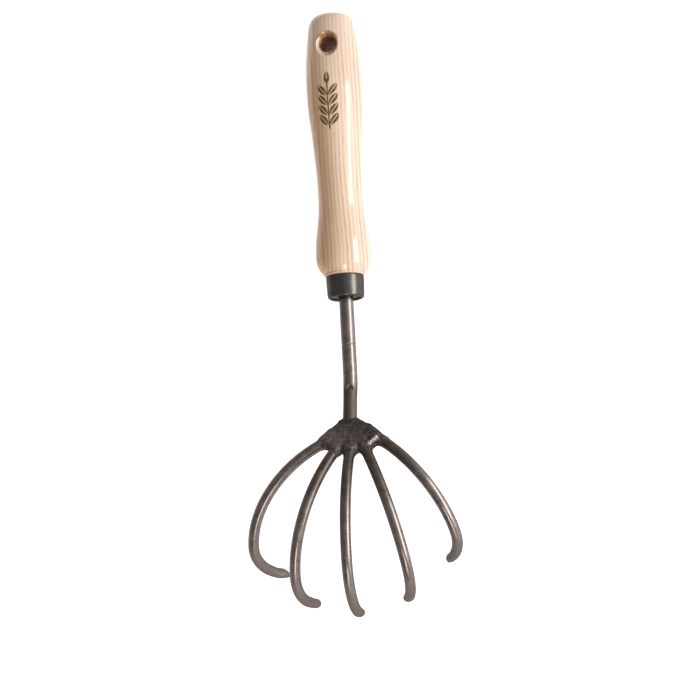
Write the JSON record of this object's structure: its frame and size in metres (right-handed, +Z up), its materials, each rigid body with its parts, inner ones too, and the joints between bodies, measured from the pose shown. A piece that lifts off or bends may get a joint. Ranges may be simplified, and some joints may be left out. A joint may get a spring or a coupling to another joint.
{
  "type": "hand rake",
  "caption": "Short hand rake: turned wooden handle with a hang hole, steel ferrule and shank, forged hub and a fan of hooked round steel tines.",
  "frame": {"origin": "centre of the overall box at floor level, with the tool lying as it rests: on the handle's bulge and the two outer tine tips", "axes": "+Z up; the tool lies along Y with the tines toward -Y and the handle's butt toward +Y; +X to the right for somebody who faces the tine end"},
  "size_m": [0.0984, 0.2794, 0.0494],
  "materials": {
    "handle_wood": "fine sanded, light oil, pale straight-grained hardwood",
    "ferrule_steel": "dark satin",
    "rod_steel": "dark, satin, lightly polished by drawing",
    "forged_steel": "rough forged, dark oxide",
    "weld_metal": "rough, dark oxide"
  },
  "bodies": {
    "root": {"handle": "handle_wood", "ferrule": "ferrule_steel", "shank": "rod_steel", "hub": "forged_steel", "left_outer_tine": "rod_steel", "left_inner_tine": "rod_steel", "centre_tine": "rod_steel", "right_inner_tine": "rod_steel", "right_outer_tine": "rod_steel", "left_outer_tine_weld": "weld_metal", "left_inner_tine_weld": "weld_metal", "centre_tine_weld": "weld_metal", "right_inner_tine_weld": "weld_metal", "right_outer_tine_weld": "weld_metal", "shank_weld": "weld_metal"}
  },
  "joints": []
}
